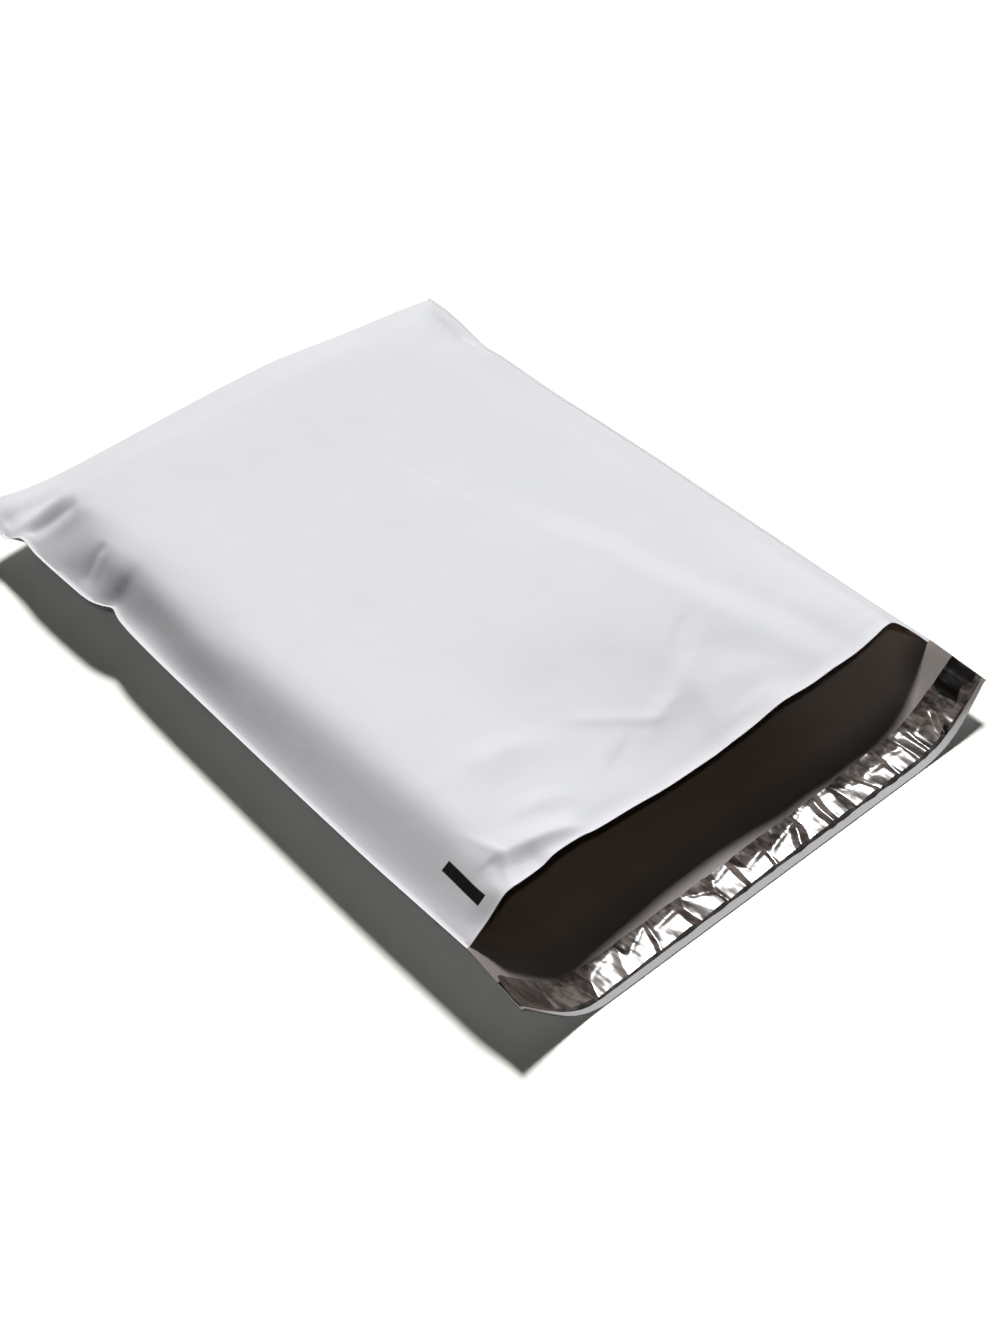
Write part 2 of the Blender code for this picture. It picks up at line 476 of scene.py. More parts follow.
# creases of the front panel: plan points, widths left and right of the line, height, fade and sharpness
creases = {
    "diagonalRidge": {
        "line": [
            (0.033, 0.020),
            (0.042, -0.015),
            (0.050, -0.040),
            (0.054, -0.070),
            (0.059, -0.088),
            (0.067, -0.112),
            (0.074, -0.141),
            (0.079, -0.165),
        ],
        "widths": (0.022, 0.115),
        "height": 0.0054,
        "fade": [(0, 0.15), (0.2, 0.65), (0.45, 1), (0.75, 0.85), (1, 0.55)],
        "sharp": 0.2,
    },
    "middleSwell": {
        "line": [(-0.010, -0.128), (0.022, -0.112)],
        "widths": (0.050, 0.030),
        "height": 0.0012,
        "fade": [(0, 1), (1, 1)],
        "sharp": 0.0,
    },
    "upperRidge": {
        "line": [(0.088, -0.070), (0.096, -0.100), (0.101, -0.135), (0.103, -0.166)],
        "widths": (0.009, 0.014),
        "height": 0.0003,
        "fade": [(0, 0), (0.4, 1), (1, 0.8)],
        "sharp": 0.4,
    },
    "tentRidge": {
        "line": [(0.0300, -0.1225), (0.0215, -0.1430), (0.0120, -0.1650)],
        "widths": (0.023, 0.013),
        "height": 0.0018,
        "fade": [(0, 0.1), (0.35, 1), (1, 0.5)],
        "sharp": 0.6,
    },
    "tentValley": {
        "line": [(0.0440, -0.1150), (0.0550, -0.1320), (0.0680, -0.1520)],
        "widths": (0.024, 0.018),
        "height": -0.0010,
        "fade": [(0, 0), (0.35, 1), (1, 0.6)],
        "sharp": 0.4,
    },
    "tentShoulder": {
        "line": [(-0.0034, -0.1360), (0.0120, -0.1320), (0.0300, -0.1225)],
        "widths": (0.010, 0.014),
        "height": 0.0014,
        "fade": [(0, 0.6), (0.4, 1), (1, 0.6)],
        "sharp": 0.6,
    },
    "shortFold": {
        "line": [(-0.0400, -0.1080), (-0.0288, -0.1165), (-0.0140, -0.1280), (-0.0034, -0.1360)],
        "widths": (0.009, 0.0060),
        "height": 0.0006,
        "fade": [(0, 0), (0.3, 0.9), (1, 1)],
        "sharp": 0.8,
    },
    "smallFold": {
        "line": [(-0.0310, -0.1280), (-0.0390, -0.1400)],
        "widths": (0.005, 0.004),
        "height": 0.0004,
        "fade": [(0, 0), (0.4, 1), (1, 0)],
        "sharp": 0.7,
    },
    "paleRidge": {
        "line": [(-0.0940, -0.1060), (-0.0700, -0.1080), (-0.0460, -0.1190)],
        "widths": (0.014, 0.019),
        "height": 0.0017,
        "fade": [(0, 0.3), (0.3, 1), (1, 0.1)],
        "sharp": 0.3,
    },
    "lowerPaleRidge": {
        "line": [(-0.0960, -0.1400), (-0.0780, -0.1420), (-0.0600, -0.1480)],
        "widths": (0.010, 0.012),
        "height": 0.0011,
        "fade": [(0, 0.3), (0.4, 1), (1, 0)],
        "sharp": 0.3,
    },
    "mouthFold": {
        "line": [(-0.1115, -0.1545), (-0.0960, -0.1575), (-0.0800, -0.1625), (-0.0730, -0.1665)],
        "widths": (0.0150, 0.0080),
        "height": 0.0030,
        "fade": [(0, 0.7), (0.35, 1), (0.8, 0.9), (1, 0)],
        "sharp": 0.55,
    },
    "cornerFold": {
        "line": [(-0.1180, -0.1300), (-0.1115, -0.1545), (-0.1155, -0.1620), (-0.1195, -0.1690)],
        "widths": (0.0040, 0.0045),
        "height": 0.0009,
        "fade": [(0, 0), (0.4, 0.8), (0.6, 1), (1, 1)],
        "sharp": 0.9,
    },
    "cornerSag": {
        "line": [(-0.1540, 0.2010), (-0.1350, 0.1990), (-0.1150, 0.1950)],
        "widths": (0.0110, 0.0120),
        "height": -0.0022,
        "fade": [(0, 1), (0.5, 1), (1, 0)],
        "sharp": 0.2,
    },
    "buckleValley": {
        "line": [(-0.1540, 0.1840), (-0.1390, 0.1740), (-0.1235, 0.1650)],
        "widths": (0.0100, 0.0095),
        "height": -0.0028,
        "fade": [(0, 0.8), (0.4, 1), (0.9, 1), (1, 0.2)],
        "sharp": 0.5,
    },
    "pitValley": {
        "line": [(-0.1430, 0.1275), (-0.1370, 0.1290), (-0.1290, 0.1300)],
        "widths": (0.0070, 0.0055),
        "height": -0.0017,
        "fade": [(0, 0.5), (0.4, 1), (0.8, 0.9), (1, 0)],
        "sharp": 0.8,
    },
    "notchRidge": {
        "line": [(-0.1460, 0.1150), (-0.1390, 0.1160), (-0.1310, 0.1170)],
        "widths": (0.0055, 0.0110),
        "height": 0.0004,
        "fade": [(0, 1), (0.5, 1), (0.85, 0.8), (1, 0)],
        "sharp": 0.8,
    },
    "farTuck": {
        "line": [(0.1330, 0.1900), (0.1335, 0.1700), (0.1345, 0.1590)],
        "widths": (0.0060, 0.0080),
        "height": -0.0048,
        "fade": [(0, 0.1), (0.45, 1), (0.8, 0.9), (1, 0.2)],
        "sharp": 0.6,
    },
}


def creaseHeights(x, y):
    # how far the creases move each place of the front panel up or down
    moved = np.zeros_like(x)
    for crease in creases.values():
        line = np.array(crease["line"])
        pieces = np.linalg.norm(np.diff(line, axis=0), axis=1)
        total = pieces.sum()
        best = np.full(x.shape, np.inf)
        side = np.zeros_like(x)
        along = np.zeros_like(x)
        gone = 0.0
        for (ax, ay), (bx, by), length in zip(line[:-1], line[1:], pieces):
            ux, uy = (bx - ax) / length, (by - ay) / length
            t = (x - ax) * ux + (y - ay) * uy
            offside = (x - ax) * uy - (y - ay) * ux
            inside = np.clip(t, 0, length)
            distance = np.hypot(x - ax - ux * inside, y - ay - uy * inside)
            nearer = distance < best
            best = np.where(nearer, distance, best)
            side = np.where(nearer, offside, side)
            along = np.where(nearer, (gone + inside) / total, along)
            gone += length
        width = np.where(side > 0, crease["widths"][1], crease["widths"][0])
        near = np.clip(1 - best / width, 0, 1)
        rounded, pointed = ease(near), near**2
        profile = rounded + (pointed - rounded) * crease["sharp"]
        moved += crease["height"] * profile * smoothLine(crease["fade"], along)
    return moved


undulation = {
    "waves": [(0.045, 0.0004), (0.016, 0.00012)],  # length and height
    "shift": 3.1,
    "layer": 0.93,
}


def noiseOver(points, rates, shift, layer):
    # noise at each place, with its rates along x and y
    flat = points.reshape(-1, 3)
    values = [noise.noise(Vector((p[0] * rates[0] + shift, p[1] * rates[1], layer))) for p in flat]
    return np.array(values).reshape(points.shape[:-1])


def undulate(points):
    # slow waves that limp film always has
    shift, layer = undulation["shift"], undulation["layer"]
    kinds = undulation["waves"]
    return sum(height * noiseOver(points, (1 / size, 1 / size), shift, layer) for size, height in kinds)


def normalsOf(grid):
    across = np.gradient(grid, axis=1)
    down = np.gradient(grid, axis=0)
    normals = np.cross(down, across)
    return normals / np.linalg.norm(normals, axis=-1, keepdims=True)


class Shell:
    # gathers blocks of points and the faces between them
    def __init__(self):
        self.points = []
        self.faces = []
        self.finishes = []

    def add(self, grid):
        start = len(self.points)
        flat = grid.reshape(-1, 3)
        self.points.extend(flat.tolist())
        return np.arange(start, start + len(flat)).reshape(grid.shape[:-1])

    def join(self, rows, finish):
        rows = np.array(rows)
        quads = np.stack([rows[:-1, :-1], rows[1:, :-1], rows[1:, 1:], rows[:-1, 1:]], axis=-1)
        for quad in quads.reshape(-1, 4).tolist():
            corners = list(dict.fromkeys(quad))
            if len(corners) > 2:
                self.faces.append(corners)
                self.finishes.append(finish)

    def build(self, name, materials, sharpAngle):
        mesh = bpy.data.meshes.new(name)
        mesh.from_pydata(self.points, [], self.faces)
        for material in materials:
            mesh.materials.append(material)
        mesh.polygons.foreach_set("material_index", self.finishes)
        shape = bmesh.new()
        shape.from_mesh(mesh)
        bmesh.ops.recalc_face_normals(shape, faces=shape.faces)
        if shape.calc_volume(signed=True) < 0:
            bmesh.ops.reverse_faces(shape, faces=shape.faces)
        shape.to_mesh(mesh)
        shape.free()
        mesh.shade_smooth()
        mesh.set_sharp_from_angle(angle=math.radians(sharpAngle))
        made = bpy.data.objects.new(name, mesh)
        bpy.context.scene.collection.objects.link(made)
        return made


def withEdges(points, run):
    # the welds' outer edges, curled up a little, on both sides of a grid of film
    out, up = bag["weldWidth"], bag["weldCurl"]
    left = points[:, :1] + np.array([-out, 0, up])
    right = points[:, -1:] + np.array([out, 0, up])
    return np.concatenate([left, points, right], axis=1)


def filmGrids():
    across = unevenSteps(bag["columnSteps"])
    pocket = unevenSteps(bag["rowSteps"])
    flap = bag["pocketLength"] + bag["flapLength"] * np.linspace(0, 1, bag["flapRows"] + 1)[1:]
    acrossPocket, runPocket = np.meshgrid(across, pocket)
    acrossAll, runAll = np.meshgrid(across, np.concatenate([pocket, flap]))
    front = frontPoints(acrossPocket, runPocket)
    back = backPoints(acrossAll, runAll)
    # creases and waves fade out at the welds and at the closed end
    free = np.minimum(acrossPocket, 1 - acrossPocket) * bag["width"]
    hold = ease(free / bag["weldHold"]) * ease(runPocket / bag["closedEndHold"])
    front[..., 2] += hold * (creaseHeights(front[..., 0], front[..., 1]) + undulate(front))
    front[..., 2] += rimHeights(acrossPocket, runPocket)
    front[0] = back[0]
    front[:, 0] = back[: len(pocket), 0]
    front[:, -1] = back[: len(pocket), -1]
    return front, back, runPocket, runAll


def makeFilm(outer, inner):
    front, back, runPocket, runAll = filmGrids()
    half = bag["filmThickness"] / 2
    last = len(front) - 1
    frontWide, backWide = withEdges(front, runPocket), withEdges(back, runAll)
    frontUp, backUp = normalsOf(frontWide), normalsOf(backWide)
    shell = Shell()
    frontOuter = shell.add(frontWide + frontUp * half)
    backOuter = shell.add(backWide - backUp * half)
    backInner = shell.add(backWide + backUp * half)
    frontInner = shell.add(front - frontUp[:, 1:-1] * half)
    # inside the pocket the two panels meet at the welds and at the closed end
    frontInner[0] = backInner[0, 1:-1]
    frontInner[:, 0] = backInner[: last + 1, 1]
    frontInner[:, -1] = backInner[: last + 1, -2]
    pocketInner = backInner[: last + 1, 1:-1].copy()
    # the two far corners inside are cut across, so that no two faces lie on each other
    for inside in (frontInner, pocketInner):
        inside[0, 0], inside[0, -1] = inside[0, 1], inside[0, -2]
        shell.join(inside, 1)
    shell.join(frontOuter, 0)
    shell.join(backOuter, 0)
    shell.join(backInner[last:], 1)
    for edge in (0, -1):
        shell.join([frontOuter[:, edge], backOuter[: last + 1, edge]], 0)
        shell.join([backInner[last:, edge], backOuter[last:, edge]], 0)
        # the end of the weld, where the flap begins
        frontEnd, backEnd = frontOuter[last, edge], backOuter[last, edge]
        shell.join([[frontEnd, backInner[last, edge]], [frontEnd, backEnd]], 0)
    shell.join([frontOuter[0], backOuter[0]], 0)
    shell.join([frontOuter[last, 1:-1], frontInner[last]], 0)
    for step in (slice(0, 2), slice(-2, None)):
        shell.join([frontOuter[last, step], backInner[last, step]], 0)
    shell.join([backInner[-1], backOuter[-1]], 0)
    film = shell.build("mailerFilm", [outer, inner], bag["sharpAngle"])
    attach(film, "root")
    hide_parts("film_bag")


# the film's two finishes, where a noise is its scale, its detail and at times its roughness
filmFinish = {
    "white": (0.790, 0.797, 0.828),
    "whiteWarm": (0.808, 0.795, 0.822),
    "whiteCloud": (22.0, 3.0),
    "whiteShare": (0.35, 0.65),
    "outerRoughness": 0.58,
    "outerSpecular": 0.22,
    "outerSmudge": (60.0, 4.0),
    "outerGrain": (130.0, 4.0, 0.55),
    "inside": (0.250, 0.218, 0.200),
    "insideWorn": (0.292, 0.258, 0.242),
    # painted fill light: inside the pocket the dark film is painted lighter and browner than its own colour
    "insidePaintedFill": (0.430, 0.312, 0.235),
    "insidePaintedFillWorn": (0.480, 0.352, 0.270),
    # painted light: the pocket's inside near the right weld, painted palest where more light reaches it
    "insidePaintedLight": (0.780, 0.640, 0.550),
    "insideCloud": (30.0, 4.0),
    "insideShare": (0.3, 0.75),
    "drift": (14.0, 2.0),
    "driftAcross": 0.04,
    "driftAlong": 0.006,
    "paintedLightAcross": (0.035, 0.105),
    "pocketAlong": (-0.190, -0.170),
    "pocketCorners": (0.120, 0.140),
    "cornerDepth": 0.014,
    "lip": (0.430, 0.422, 0.420),
    "lipPale": (0.480, 0.472, 0.468),
    "lipAcross": (-0.06, 0.12),
    "lipAlong": (-0.2085, -0.2110),
    # painted shade: the inside of the front panel, high above the pocket's floor, is painted near black
    "underside": (0.060, 0.050, 0.045),
    "undersideFrom": (0.030, 0.033),
    "innerRoughness": 0.62,
    "innerSmudge": (80.0, 4.0),
    "innerGrain": (150.0, 4.0, 0.55),
    "smudgeSpread": 0.10,
    "grainDepth": 0.00025,
    "grainStrength": 0.5,
    "markCentre": (-0.1302, -0.1500),
    "markSize": (0.0043, 0.0248),
    "markTurn": math.radians(-1.0),
    "markBlur": 0.0002,
    "markAbove": 0.030,
    "markInk": (0.001, 0.001, 0.0012),
}


def roughen(start, shader, place, side):
    # smudges in the film's gloss, and a fine grain
    smudge = noiseWire(start, place, *filmFinish[side + "Smudge"])
    rough = filmFinish[side + "Roughness"] + (smudge - 0.5) * filmFinish["smudgeSpread"]
    feed(start.tree, shader.inputs["Roughness"], rough)
    grain = noiseWire(start, place, *filmFinish[side + "Grain"])
    depth, strength = filmFinish["grainDepth"], filmFinish["grainStrength"]
    bump = start.node("ShaderNodeBump", Height=grain, Distance=depth, Strength=strength)
    feed(start.tree, shader.inputs["Normal"], Wire(start.tree, bump.outputs[0]))


def outerFilm():
    material, start, shader, place, (x, y, z) = newMaterial("whiteFilm")
    cloudy = noiseWire(start, place, *filmFinish["whiteCloud"]).smooth(*filmFinish["whiteShare"])
    base = cloudy.mixColour(filmFinish["white"], filmFinish["whiteWarm"])
    # the black bar printed near the mouth
    cx, cy = filmFinish["markCentre"]
    wide, long = filmFinish["markSize"]
    turn, blur = filmFinish["markTurn"], filmFinish["markBlur"]
    dx, dy = x - cx, y - cy
    overX = abs(dx * math.cos(turn) + dy * math.sin(turn)).smooth(wide / 2 - blur, wide / 2 + blur)
    overY = abs(dy * math.cos(turn) - dx * math.sin(turn)).smooth(long / 2 - blur, long / 2 + blur)
    mark = (1 - overX) * (1 - overY) * (z > filmFinish["markAbove"])
    feed(start.tree, shader.inputs["Base Color"], mark.mixColour(base, filmFinish["markInk"]))
    shader.inputs["Specular IOR Level"].default_value = filmFinish["outerSpecular"]
    roughen(start, shader, place, "outer")
    return material


def innerFilm():
    material, start, shader, place, (x, y, z) = newMaterial("darkFilm")
    cloudy = noiseWire(start, place, *filmFinish["insideCloud"]).smooth(*filmFinish["insideShare"])
    flap = cloudy.mixColour(filmFinish["inside"], filmFinish["insideWorn"])
    deep = cloudy.mixColour(filmFinish["insidePaintedFill"], filmFinish["insidePaintedFillWorn"])
    # inside the pocket the colour is painted lighter and browner than the film's own, a painted fill light
    # where little light reaches, and palest near the right weld, painted light at the pocket's right end
    drift = noiseWire(start, place, *filmFinish["drift"]) - 0.5
    # how far the painted light near the right weld reaches, with a wavering edge
    pale = (x + drift * filmFinish["driftAcross"]).smooth(*filmFinish["paintedLightAcross"])
    corners = abs(x).smooth(*filmFinish["pocketCorners"]) * filmFinish["cornerDepth"]
    pocket = (y + drift * filmFinish["driftAlong"] - corners).smooth(*filmFinish["pocketAlong"])
    # the flap is paler and greyer along its edge
    lip = x.smooth(*filmFinish["lipAcross"]).mixColour(filmFinish["lip"], filmFinish["lipPale"])
    flap = y.smooth(*filmFinish["lipAlong"]).mixColour(flap, lip)
    # the pocket takes the painted fill light, and near the right weld the painted light
    lower = pocket.mixColour(flap, pale.mixColour(deep, filmFinish["insidePaintedLight"]))
    # painted shade: above this height the inside of the front panel and its upturned rim are painted near
    # black
    upper = z.smooth(*filmFinish["undersideFrom"])
    feed(start.tree, shader.inputs["Base Color"], upper.mixColour(lower, filmFinish["underside"]))
    roughen(start, shader, place, "inner")
    return material


# the closing strip on the flap: what its two layers share
strip = {
    "lipGap": [  # share across, gap to the flap's edge
        (0.0, 0.0020),
        (0.12, 0.0034),
        (0.5, 0.0040),
        (0.9, 0.0038),
        (1.0, 0.0030),
    ],
    "width": [  # share across, width of the liner
        (0.0, 0.0200),
        (0.12, 0.0172),
        (0.35, 0.0164),
        (0.65, 0.0174),
        (0.88, 0.0204),
        (1.0, 0.0232),
    ],
}

adhesive = {
    "inset": 0.0015,
    "endGap": 0.002,
    "rise": 0.00015,
    "thickness": 0.00012,
    "grid": (6, 180),
    "sharpAngle": 40,
    "colour": (0.30, 0.26, 0.20),
    "colourPale": (0.36, 0.32, 0.25),
    "patches": (90.0, 3.0),
    "roughness": 0.22,
    "roughnessSpread": 0.1,
}

liner = {
    "inset": 0.0,
    "endGap": 0.0005,
    "rise": 0.0006,
    "thickness": 0.00008,
    "grid": (22, 900),
    "sharpAngle": 14,
    "usualWidth": 0.017,
    "edgeDrop": 0.5,  # share of the rise that is lost at the outer edge
    "edgeDropFrom": 0.95,
    "deepest": 0.15,  # share of the rise that a groove may take away
    "seed": 7,
    "foldsTo": 0.165,
    "foldsEnd": 0.18,
    "foldsStep": 0.0001,
    "firstHeight": 0.0002,
    "firstStart": 0.3,
    "panel": (0.006, 0.0135),
    "panelPoints": 9,
    "widening": (1.25, 0.62),
    "wideningAt": (-0.12, 0.12),
    "dullLean": -0.12,
    "mirrorLean": (0.060, 0.52),
    "flashEnds": (-0.127, 0.115),
    "panelCurl": (0.02, 0.13),
    "fold": (0.0036, 0.0095),
    "foldHeight": (0.0003, 0.0007),
    "foldLean": (0.22, 0.42),
    "foldTurns": (-1, -1, -1, 1),
    "soften": 0.0018,
    "smoothFrom": (0.02, 0.62),
    "settleReach": 0.24,
    "innerFold": 0.35,  # share of their height that the folds keep at the inner edge
    "innerFall": 0.17,
    "outwardLean": [(0.0, 0.016), (0.5, 0.033), (1.0, 0.054)],
    "leanWave": (317, 0.02),  # rate and size
    "slant": 0.30,
    "slantWaves": [(61, 0.7, 0.30), (173, 0.0, 0.15)],  # rate, phase and size
    "wander": [(190, -260, 0.0, 0.0006), (83, 0, 1.0, 0.0010)],  # rates along and outwards, phase, size
    "crumples": [((250, 190), 1.7, 1.0), ((520, 330), 4.2, 0.35)],  # rates, layer and size
    "crumple": 0.00013,
    "innerCrumple": 0.00036,
    "edgeHold": 0.03,
    "edgeShare": 0.15,  # share of all of it that is left at the outer edge
    "colour": (0.040, 0.029, 0.024),
    "colourPale": (0.185, 0.150, 0.132),
    # painted dark reflection at the liner's right end and in a small spot at its outer edge
    "colourPaintedDarkReflection": (0.008, 0.007, 0.006),
    "streakTurn": (0.35, 0.22),
    "streaks": (300.0, 3.0, 0.6),
    "streakShare": 0.55,
    "patches": (150.0, 4.0, 0.6),
    "paleShare": (0.40, 0.62),
    "ragged": (90.0, 3.0),
    "clingsAcross": (-0.130, -0.122),
    "clingsRagged": 0.010,
    "clingsDarker": 0.6,
    "paintedDarkReflectionAcross": (0.1290, 0.1305),
    "paintedDarkReflectionAlong": (-0.2035, -0.2020),
    "paintedDarkReflectionRagged": (0.016, 0.012),
    # the small spot of painted dark reflection at the outer edge
    "spotBegins": (0.1105, 0.1120),
    "spotEnds": (0.1190, 0.1205),
    "spotAlong": (-0.2668, -0.2658),
    "spotTurn": 0.5,
    "spotRagged": 0.006,
    "roughness": 0.24,
    "roughnessDull": 0.34,
    "roughnessSpread": 0.12,
    "smudge": (120.0, 3.0),
    "ior": 1.6,
}


def flapGrid(layer):
    # the flap's inside under a layer, from edge to edge but for a gap
    rows, columns = layer["grid"]
    gap = layer["endGap"] / bag["weldWidth"]
    across, share = np.meshgrid(np.linspace(0, 1, columns + 1), np.linspace(0, 1, rows + 1))
    outer = lipRun - smoothLine(strip["lipGap"], across) - layer["inset"]
    wide = smoothLine(strip["width"], across) - 2 * layer["inset"]
    run = outer - wide * (1 - share)
    points = withEdges(backPoints(across, run), run)
    points[:, 0] += (points[:, 1] - points[:, 0]) * gap
    points[:, -1] += (points[:, -2] - points[:, -1]) * gap
    return points


def linerFolds():
    # the slack liner lies in gently curved panels with creased folds between them
    # this gives places along it, their heights, and how far out from its inner edge it is smooth
    dice = np.random.default_rng(liner["seed"])
    places, heights, starts = [-liner["foldsEnd"]], [0.0], [liner["firstStart"]]
    at, height = -liner["foldsTo"], liner["firstHeight"]
    while at < liner["foldsTo"]:
        long = dice.uniform(*liner["panel"]) * np.interp(at, liner["wideningAt"], liner["widening"])
        fold = dice.uniform(*liner["fold"])
        middle = at + long / 2
        lean = liner["dullLean"]
        if liner["flashEnds"][0] < middle < liner["flashEnds"][1]:
            lean = liner["mirrorLean"][0] + liner["mirrorLean"][1] * middle
        first = lean + dice.uniform(*liner["panelCurl"])
        last = lean - dice.uniform(*liner["panelCurl"])
        start, finish = dice.uniform(*liner["smoothFrom"], 2)
        for part in np.linspace(0, 1, liner["panelPoints"]):
            places.append(at + long * part)
            heights.append(height + long * (first * part + (last - first) * part**2 / 2))
            starts.append(start + (finish - start) * part)
        # each fold is a groove, or now and then a ridge, steeper than the panels
        height = dice.uniform(*liner["foldHeight"])
        ridge = dice.uniform(*liner["foldLean"]) * fold / 2 * dice.choice(liner["foldTurns"])
        places.append(at + long + fold / 2)
        heights.append(max((heights[-1] + height) / 2 + ridge, 0))
        starts.append(finish)
        at += long + fold
    even = np.arange(-liner["foldsEnd"], liner["foldsEnd"], liner["foldsStep"])
    window = np.hanning(round(liner["soften"] / liner["foldsStep"]) + 2)
    window /= window.sum()
    level = np.convolve(np.interp(even, places, heights), window, "same")
    return even, level, np.interp(even, places, starts)


def ripples(points, outward):
    # panels and folds slant across the liner, die away towards its inner edge, and are crumpled there
    x = points[..., 0]
    off = (outward - 0.5) * liner["usualWidth"]
    slant = liner["slant"] * np.clip(0.5 - x / bag["width"], 0, 1)
    slant += sum(size * np.sin(x * rate + phase) for rate, phase, size in liner["slantWaves"])
    wander = sum(size * np.sin(x * rate + off * out + phase) for rate, out, phase, size in liner["wander"])
    along = x + slant * off + wander
    places, heights, starts = linerFolds()
    folded = np.interp(along, places, heights)
    settled = ease((outward - np.interp(along, places, starts)) / liner["settleReach"] + 0.5)
    crumple = sum(size * noiseOver(points, rates, 0.0, layer) for rates, layer, size in liner["crumples"])
    crumple *= liner["crumple"] + (liner["innerCrumple"] - liner["crumple"]) * (1 - settled)
    # its inner part falls outwards and its outer part rises a little again
    rate, size = liner["leanWave"]
    lean = smoothLine(liner["outwardLean"], np.clip(x / bag["width"] + 0.5, 0, 1)) + size * np.sin(x * rate)
    stepOut = liner["usualWidth"] / (len(outward) - 1)
    fall = liner["innerFall"] * np.cumsum((1 - settled)[::-1], axis=0)[::-1] * stepOut
    rise = lean * np.cumsum(settled, axis=0) * stepOut
    edge = ease((1 - outward) / liner["edgeHold"])
    raised = folded * upFrom(liner["innerFold"], settled) + crumple + fall + rise
    return raised * upFrom(liner["edgeShare"], edge)


def linerLift(points):
    # how high the liner's underside is over the flap
    outward = np.linspace(0, 1, len(points))[:, None] * np.ones(points.shape[:2])
    dropped = ease((outward - liner["edgeDropFrom"]) / (1 - liner["edgeDropFrom"]))
    lowered = liner["rise"] * (1 - liner["edgeDrop"] * dropped)
    return (lowered + np.maximum(ripples(points, outward), -liner["rise"] * liner["deepest"]))[..., None]


def makeStrip(name, layer, material, nodeName):
    middleGrid = flapGrid(layer)
    up = normalsOf(middleGrid)
    lift = linerLift(middleGrid) if layer is liner else layer["rise"]
    shell = Shell()
    under = shell.add(middleGrid + up * lift)
    over = shell.add(middleGrid + up * (lift + layer["thickness"]))
    shell.join(under, 0)
    shell.join(over, 0)
    for edge in (np.s_[0], np.s_[-1], np.s_[:, 0], np.s_[:, -1]):
        shell.join([under[edge], over[edge]], 0)
    made = shell.build(name, [material], layer["sharpAngle"])
    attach(made, "root")
    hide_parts(nodeName)


def linerMaterial():
    material, start, shader, place, (x, y, z) = newMaterial("clearLiner")
    # streaks that run across the strip, over patches
    leaning, drawnOut = liner["streakTurn"]
    streaked = start.node("ShaderNodeCombineXYZ", X=x + y * leaning, Y=y * drawnOut, Z=0.0)
    streaks = noiseWire(start, Wire(start.tree, streaked.outputs[0]), *liner["streaks"])
    patches = noiseWire(start, place, *liner["patches"])
    share = liner["streakShare"]
    pale = (streaks * share + patches * (1 - share)).smooth(*liner["paleShare"])
    brown = pale.mixColour(liner["colour"], liner["colourPale"])
    # it clings to the adhesive at its left end, so it is darker and shines less there
    ragged = noiseWire(start, place, *liner["ragged"]) - 0.5
    clings = 1 - (x + ragged * liner["clingsRagged"]).smooth(*liner["clingsAcross"])
    brown = (clings * liner["clingsDarker"]).mixColour(brown, liner["colour"])
    # its right end is painted near black, a painted dark reflection
    raggedX, raggedY = liner["paintedDarkReflectionRagged"]
    black = (x + ragged * raggedX).smooth(*liner["paintedDarkReflectionAcross"])
    black = black * (y + ragged * raggedY).smooth(*liner["paintedDarkReflectionAlong"])
    # and so is a small spot at its outer edge, beyond the last bright fold, also a painted dark reflection
    spotX = x + ragged * liner["spotRagged"]
    spot = spotX.smooth(*liner["spotBegins"]) * (1 - spotX.smooth(*liner["spotEnds"]))
    spot = spot * (1 - (y - x * liner["spotTurn"]).smooth(*liner["spotAlong"]))
    black = black + spot - black * spot
    feed(start.tree, shader.inputs["Base Color"], black.mixColour(brown, liner["colourPaintedDarkReflection"]))
    smudge = noiseWire(start, place, *liner["smudge"])
    duller = clings * (liner["roughnessDull"] - liner["roughness"])
    rough = liner["roughness"] + duller + (smudge - 0.5) * liner["roughnessSpread"]
    feed(start.tree, shader.inputs["Roughness"], rough)
    shader.inputs["IOR"].default_value = liner["ior"]
    return material


def adhesiveMaterial():
    material, start, shader, place, axes = newMaterial("adhesiveBand")
    patches = noiseWire(start, place, *adhesive["patches"])
    colour = patches.mixColour(adhesive["colour"], adhesive["colourPale"])
    feed(start.tree, shader.inputs["Base Color"], colour)
    rough = adhesive["roughness"] + patches * adhesive["roughnessSpread"]
    feed(start.tree, shader.inputs["Roughness"], rough)
    return material


# the floor, the lamps, the world and the camera
studio = {
    "floorSize": 12.0,
    "floorLit": 1.26,
    "floorTint": (1.0, 0.99, 0.93),
    "floorBounce": 0.36,
    "sunStrength": 3.30,
    "sunAngle": 8.5,
    "sunFrom": 40.0,
    "sunHeight": 52.0,
    "fill": 0.011,
    "backdrop": 1.0,
    "horizon": (0.25, 0.5),
    "frontPlace": (-0.599, -0.711, 1.062),
    "frontAim": (0.0, -0.10, 0.03),
    "frontSize": 0.03,
    "frontPower": 0.76,
}


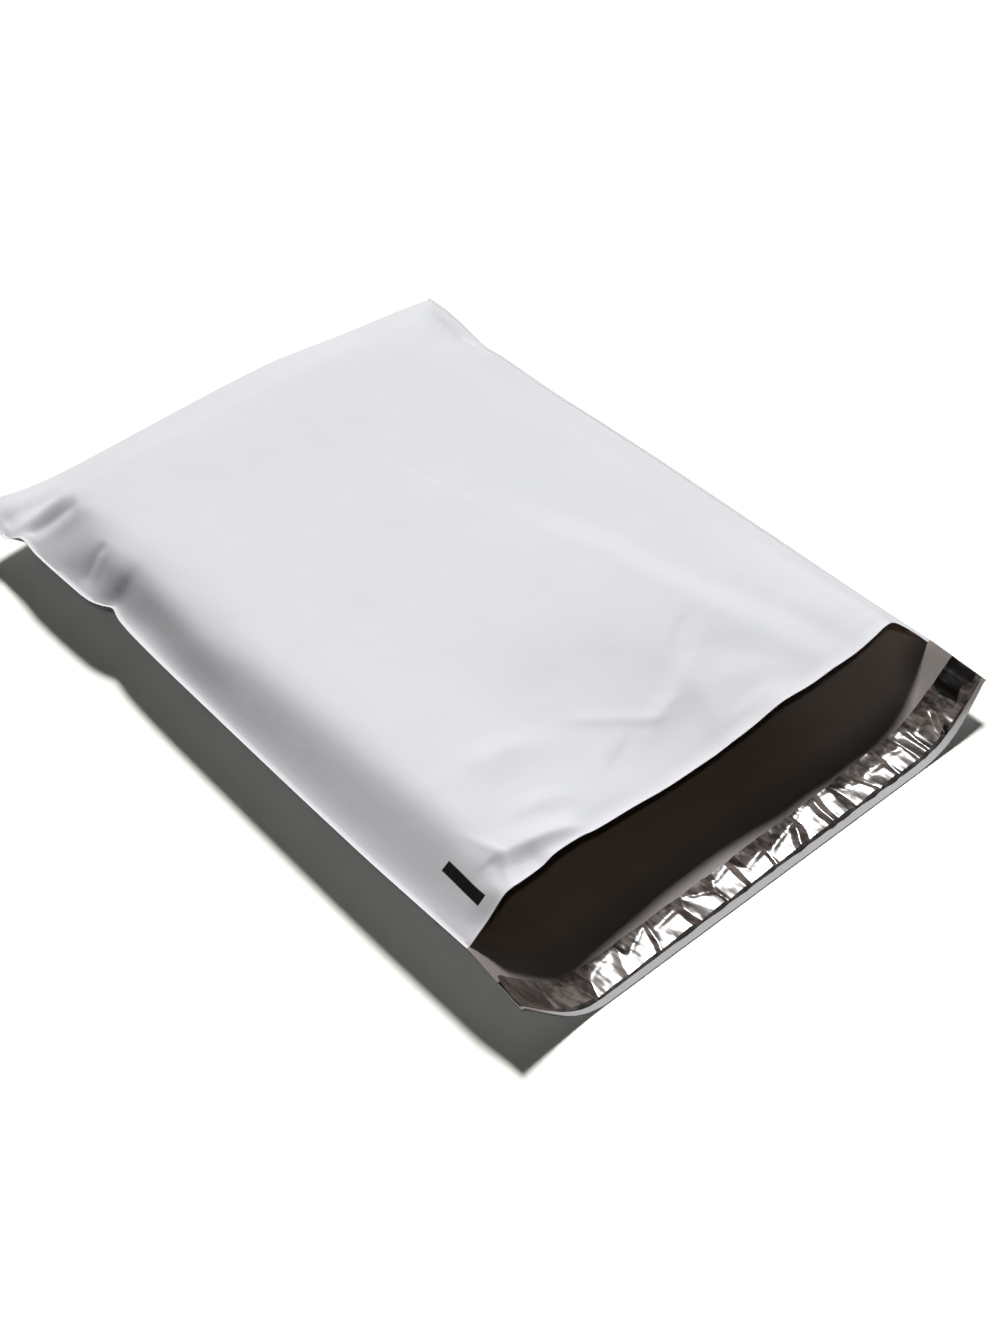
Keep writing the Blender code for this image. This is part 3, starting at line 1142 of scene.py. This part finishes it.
def makeFloor():
    size = studio["floorSize"] / 2
    corners = [(-size, -size, 0), (size, -size, 0), (size, size, 0), (-size, size, 0)]
    mesh = bpy.data.meshes.new("floor")
    mesh.from_pydata(corners, [], [(0, 1, 2, 3)])
    floor = bpy.data.objects.new("floor", mesh)
    bpy.context.scene.collection.objects.link(floor)
    material = bpy.data.materials.new("floor")
    material.use_nodes = True
    tree = material.node_tree
    tree.nodes.clear()
    start = Wire(tree, None)
    seen = Wire(tree, start.node("ShaderNodeLightPath").outputs["Is Camera Ray"])
    lit = tuple(studio["floorLit"] * part for part in studio["floorTint"])
    colour = seen.mixColour((studio["floorBounce"],) * 3, lit)
    diffuse = start.node("ShaderNodeBsdfDiffuse", Color=colour)
    output = start.node("ShaderNodeOutputMaterial")
    tree.links.new(diffuse.outputs[0], output.inputs[0])
    mesh.materials.append(material)


def addLamp(name, kind, power, toLight):
    data = bpy.data.lights.new(name, kind)
    data.energy = power
    lamp = bpy.data.objects.new(name, data)
    bpy.context.scene.collection.objects.link(lamp)
    lamp.rotation_mode = "QUATERNION"
    lamp.rotation_quaternion = toLight.to_track_quat("Z", "Y")
    return lamp


def makeLights():
    turn, height = math.radians(studio["sunFrom"]), math.radians(studio["sunHeight"])
    level = math.cos(height)
    toSun = Vector((math.sin(turn) * level, math.cos(turn) * level, math.sin(height)))
    key = addLamp("key", "SUN", studio["sunStrength"], toSun)
    key.data.angle = math.radians(studio["sunAngle"])
    toFront = Vector(studio["frontPlace"]) - Vector(studio["frontAim"])
    front = addLamp("front", "AREA", studio["frontPower"], toFront)
    front.data.shape = "DISK"
    front.data.size = studio["frontSize"]
    front.location = studio["frontPlace"]


def makeWorld():
    # low down the world looks white, also in reflections, and it lights the bag only a little
    world = bpy.data.worlds.new("studio")
    bpy.context.scene.world = world
    world.use_nodes = True
    tree = world.node_tree
    start = Wire(tree, None)
    path = start.node("ShaderNodeLightPath")
    kinds = ("Is Camera Ray", "Is Glossy Ray", "Is Transmission Ray")
    straight, glossy, clear = (Wire(tree, path.outputs[kind]) for kind in kinds)
    coords = start.node("ShaderNodeTexCoord")
    axes = start.node("ShaderNodeSeparateXYZ", Vector=Wire(tree, coords.outputs["Generated"]))
    low = 1 - Wire(tree, axes.outputs[2]).smooth(*studio["horizon"])
    share = start.maths("MINIMUM", straight + glossy + clear, 1.0) * low
    colour = share.mixColour((studio["fill"],) * 3, (studio["backdrop"],) * 3)
    tree.links.new(colour.socket, tree.nodes["Background"].inputs["Color"])


cameraSet = {
    "place": (-0.4688, -0.5926, 0.7426),
    "pitch": 45.743,
    "yaw": 39.296,
    "roll": -1.635,
    "focalPixels": 2090.1,
    "longSidePixels": 1333,
    "sensorWidth": 36.0,
}


def makeCamera():
    pitch, yaw, roll = (math.radians(cameraSet[key]) for key in ("pitch", "yaw", "roll"))
    level = Vector((math.sin(yaw), math.cos(yaw), 0))
    forward = level * math.cos(pitch) + Vector((0, 0, -math.sin(pitch)))
    right = forward.cross(Vector((0, 0, 1))).normalized()
    up = right.cross(forward)
    rightRolled = right * math.cos(roll) + up * math.sin(roll)
    upRolled = up * math.cos(roll) - right * math.sin(roll)
    data = bpy.data.cameras.new("camera")
    data.sensor_width = cameraSet["sensorWidth"]
    data.lens = data.sensor_width * cameraSet["focalPixels"] / cameraSet["longSidePixels"]
    camera = bpy.data.objects.new("camera", data)
    bpy.context.scene.collection.objects.link(camera)
    turn = Matrix((rightRolled, upRolled, -forward)).transposed().to_4x4()
    camera.matrix_world = Matrix.Translation(cameraSet["place"]) @ turn
    bpy.context.scene.camera = camera


makeCamera()
makeFloor()
makeLights()
makeWorld()
bpy.context.scene.view_settings.view_transform = "Standard"
print("studio ready")

makeFilm(outerFilm(), innerFilm())
print("film ready")

makeStrip("adhesiveBand", adhesive, adhesiveMaterial(), "adhesive_strip")
makeStrip("releaseLiner", liner, linerMaterial(), "release_liner")
print("closing strip ready")
